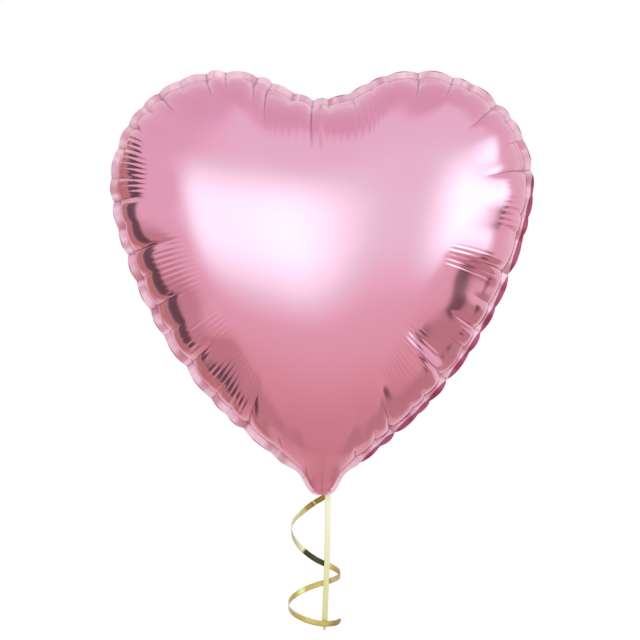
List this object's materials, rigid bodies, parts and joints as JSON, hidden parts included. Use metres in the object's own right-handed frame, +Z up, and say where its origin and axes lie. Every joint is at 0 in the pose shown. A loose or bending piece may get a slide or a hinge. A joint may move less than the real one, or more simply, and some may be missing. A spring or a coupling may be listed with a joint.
{
  "type": "foil balloon on a ribbon",
  "caption": "Heart-shaped foil balloon with a crimped seam, a folded filling tail and a curled ribbon.",
  "frame": {"origin": "the tie at the neck: in the seam plane, on the middle line, level with the lowest point of the folded neck", "axes": "+Z up from the neck to the lobes, front of the balloon towards -Y, +X to the viewer's right"},
  "size_m": [0.382, 0.178, 0.505],
  "materials": {
    "pink_foil": "metallised pink film, mirror-like satin",
    "clear_film": "clear soft film",
    "gold_ribbon": "metallised gold ribbon"
  },
  "bodies": {
    "balloon": {"front_panel": "pink_foil", "back_panel": "pink_foil", "valve_front_film": "clear_film", "valve_back_film": "clear_film", "tail_fold": "pink_foil", "ribbon_loop": "gold_ribbon"},
    "tab": {"fill_tab": "pink_foil"},
    "knot": {"ribbon_knot": "gold_ribbon"},
    "line": {"ribbon_line": "gold_ribbon"},
    "curl": {"ribbon_curl": "gold_ribbon"},
    "curl_end": {"ribbon_curl_end": "gold_ribbon"}
  },
  "joints": [
    {"name": "tab_bend", "type": "hinge", "parent": "balloon", "child": "tab", "pos_m": [0, 0.0076, 0.0111], "axis": [-1, 0, 0], "range_deg": [0, 45]},
    {"name": "knot_swing", "type": "hinge", "parent": "balloon", "child": "knot", "pos_m": [0.005, 0.0124, 0.003], "axis": [-1, 0, 0], "range_deg": [-30, 55], "stiffness_Nm_per_rad": 0.0008, "springref_deg": 7.45},
    {"name": "line_swing", "type": "hinge", "parent": "knot", "child": "line", "pos_m": [0.005, 0.0124, 0.003], "axis": [0, 1, 0], "range_deg": [-75, 75]},
    {"name": "curl_swing", "type": "hinge", "parent": "knot", "child": "curl", "pos_m": [0.005, 0.0124, 0.003], "axis": [0, 1, 0], "range_deg": [-45, 45], "stiffness_Nm_per_rad": 0.0004, "springref_deg": 6.3},
    {"name": "curl_stretch", "type": "slide", "parent": "curl", "child": "curl_end", "axis": [0, 0, -1], "range_m": [0, 0.07], "stiffness_N_per_m": 0.15, "springref_m": -0.03}
  ]
}
